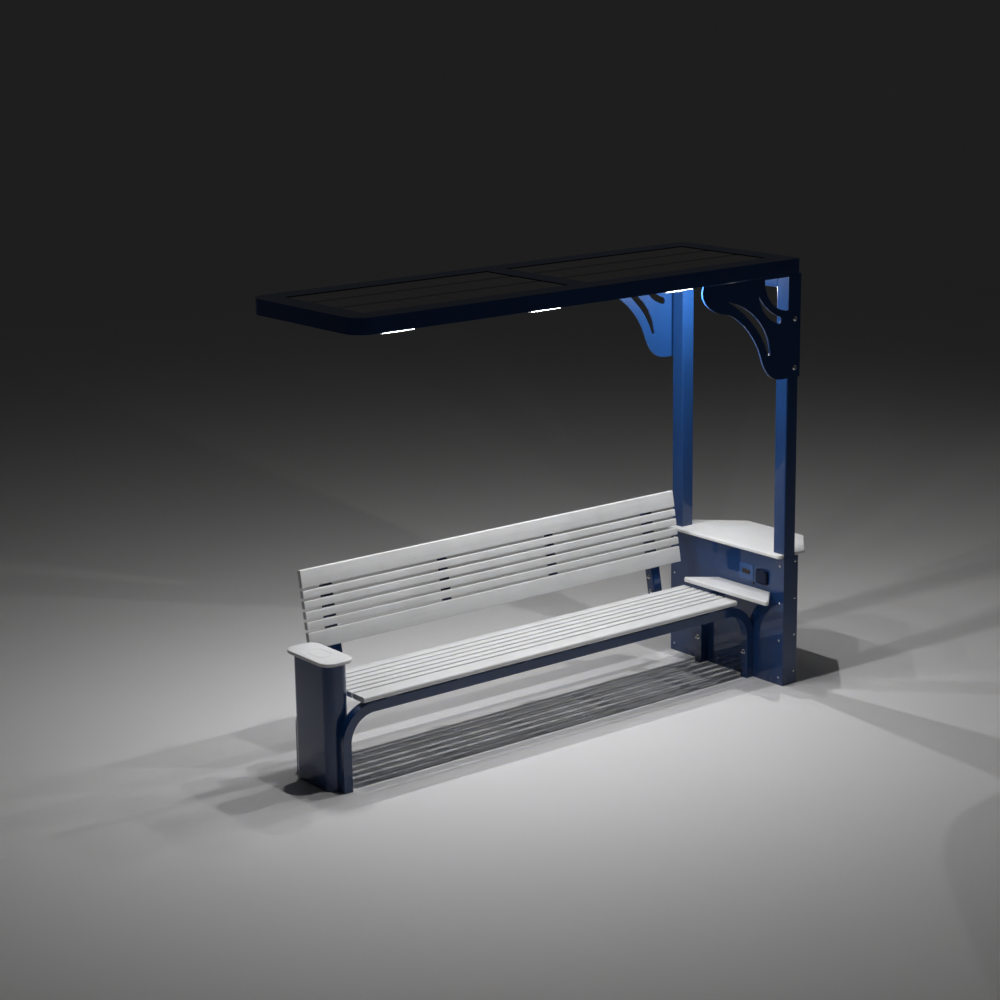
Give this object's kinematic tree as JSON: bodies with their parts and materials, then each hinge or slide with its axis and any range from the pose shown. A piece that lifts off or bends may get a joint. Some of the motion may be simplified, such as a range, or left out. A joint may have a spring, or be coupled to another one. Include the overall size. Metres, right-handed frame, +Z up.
{
  "type": "solar charging bench",
  "caption": "Slatted bench with a backrest, a side cabinet with a countertop and charging points, a solar canopy on posts and an arm plate that charges phones.",
  "frame": {"origin": "middle of the bench's box, on the floor", "axes": "+X along the seat towards the cabinet, +Y from the front of the seat to the backrest, +Z up"},
  "size_m": [3.234, 0.9344, 2.368],
  "materials": {
    "blue_paint": "gloss",
    "white_board": "satin",
    "steel": "brushed",
    "aluminium": "satin",
    "black_plastic": "satin",
    "solar_glass": "gloss",
    "light_diffuser": "satin"
  },
  "bodies": {
    "bench": {"arm_plate": "white_board", "back_cleat_left": "blue_paint", "back_cleat_right": "blue_paint", "back_slat_1": "white_board", "back_slat_2": "white_board", "back_slat_3": "white_board", "back_slat_4": "white_board", "back_slat_5": "white_board", "back_slat_6": "white_board", "battery": "black_plastic", "bracket_front": "blue_paint", "bracket_rear": "blue_paint", "cabinet_base_plate": "steel", "cabinet_cover_front": "blue_paint", "cabinet_cover_rear": "blue_paint", "cabinet_seat_panel": "blue_paint", "canopy_divider": "blue_paint", "canopy_frame": "blue_paint", "charge_controller": "aluminium", "counter_top": "white_board", "cross_beam": "blue_paint", "door_frame": "blue_paint", "equipment_table": "steel", "hinge_lower": "steel", "hinge_upper": "steel", "inverter": "aluminium", "junction_box_left": "black_plastic", "junction_box_right": "black_plastic", "light_bar_beam": "light_diffuser", "light_bar_front_left": "light_diffuser", "light_bar_front_middle": "light_diffuser", "light_bar_front_right": "light_diffuser", "light_bar_rear_left": "light_diffuser", "light_bar_rear_middle": "light_diffuser", "light_bar_rear_right": "light_diffuser", "mains_outlet": "black_plastic", "pedestal_column": "blue_paint", "post_front": "blue_paint", "post_rear": "blue_paint", "seat_frame_front": "blue_paint", "seat_frame_rear": "blue_paint", "seat_slat_1": "white_board", "seat_slat_2": "white_board", "seat_slat_3": "white_board", "seat_slat_4": "white_board", "seat_slat_5": "white_board", "seat_slat_6": "white_board", "seat_slat_7": "white_board", "side_shelf": "white_board", "solar_panel_left": "solar_glass", "solar_panel_right": "solar_glass", "upright_left": "blue_paint", "upright_right": "blue_paint", "usb_plate": "blue_paint", "usb_socket": "black_plastic", "wireless_charger": "black_plastic"},
    "door": {"cabinet_door": "blue_paint"},
    "lock": {"door_lock": "steel"},
    "flap": {"outlet_flap": "black_plastic"},
    "button": {"light_button": "black_plastic"}
  },
  "joints": [
    {"name": "door_hinge", "type": "hinge", "parent": "bench", "child": "door", "pos_m": [1.5833, 0.15819, 0.37], "axis": [0, 0, 1], "range_deg": [0, 110]},
    {"name": "lock_turn", "type": "hinge", "parent": "door", "child": "lock", "pos_m": [1.562, -0.11981, 0.37], "axis": [-1, 0, 0], "range_deg": [0, 90]},
    {"name": "flap_hinge", "type": "hinge", "parent": "bench", "child": "flap", "pos_m": [1.2107, -0.28481, 0.63], "axis": [0, 1, 0], "range_deg": [0, 100], "stiffness_Nm_per_rad": 0.02, "springref_deg": -28.65},
    {"name": "button_press", "type": "slide", "parent": "bench", "child": "button", "axis": [1, 0, 0], "range_m": [0, 0.003], "stiffness_N_per_m": 600, "springref_m": -0.001}
  ]
}
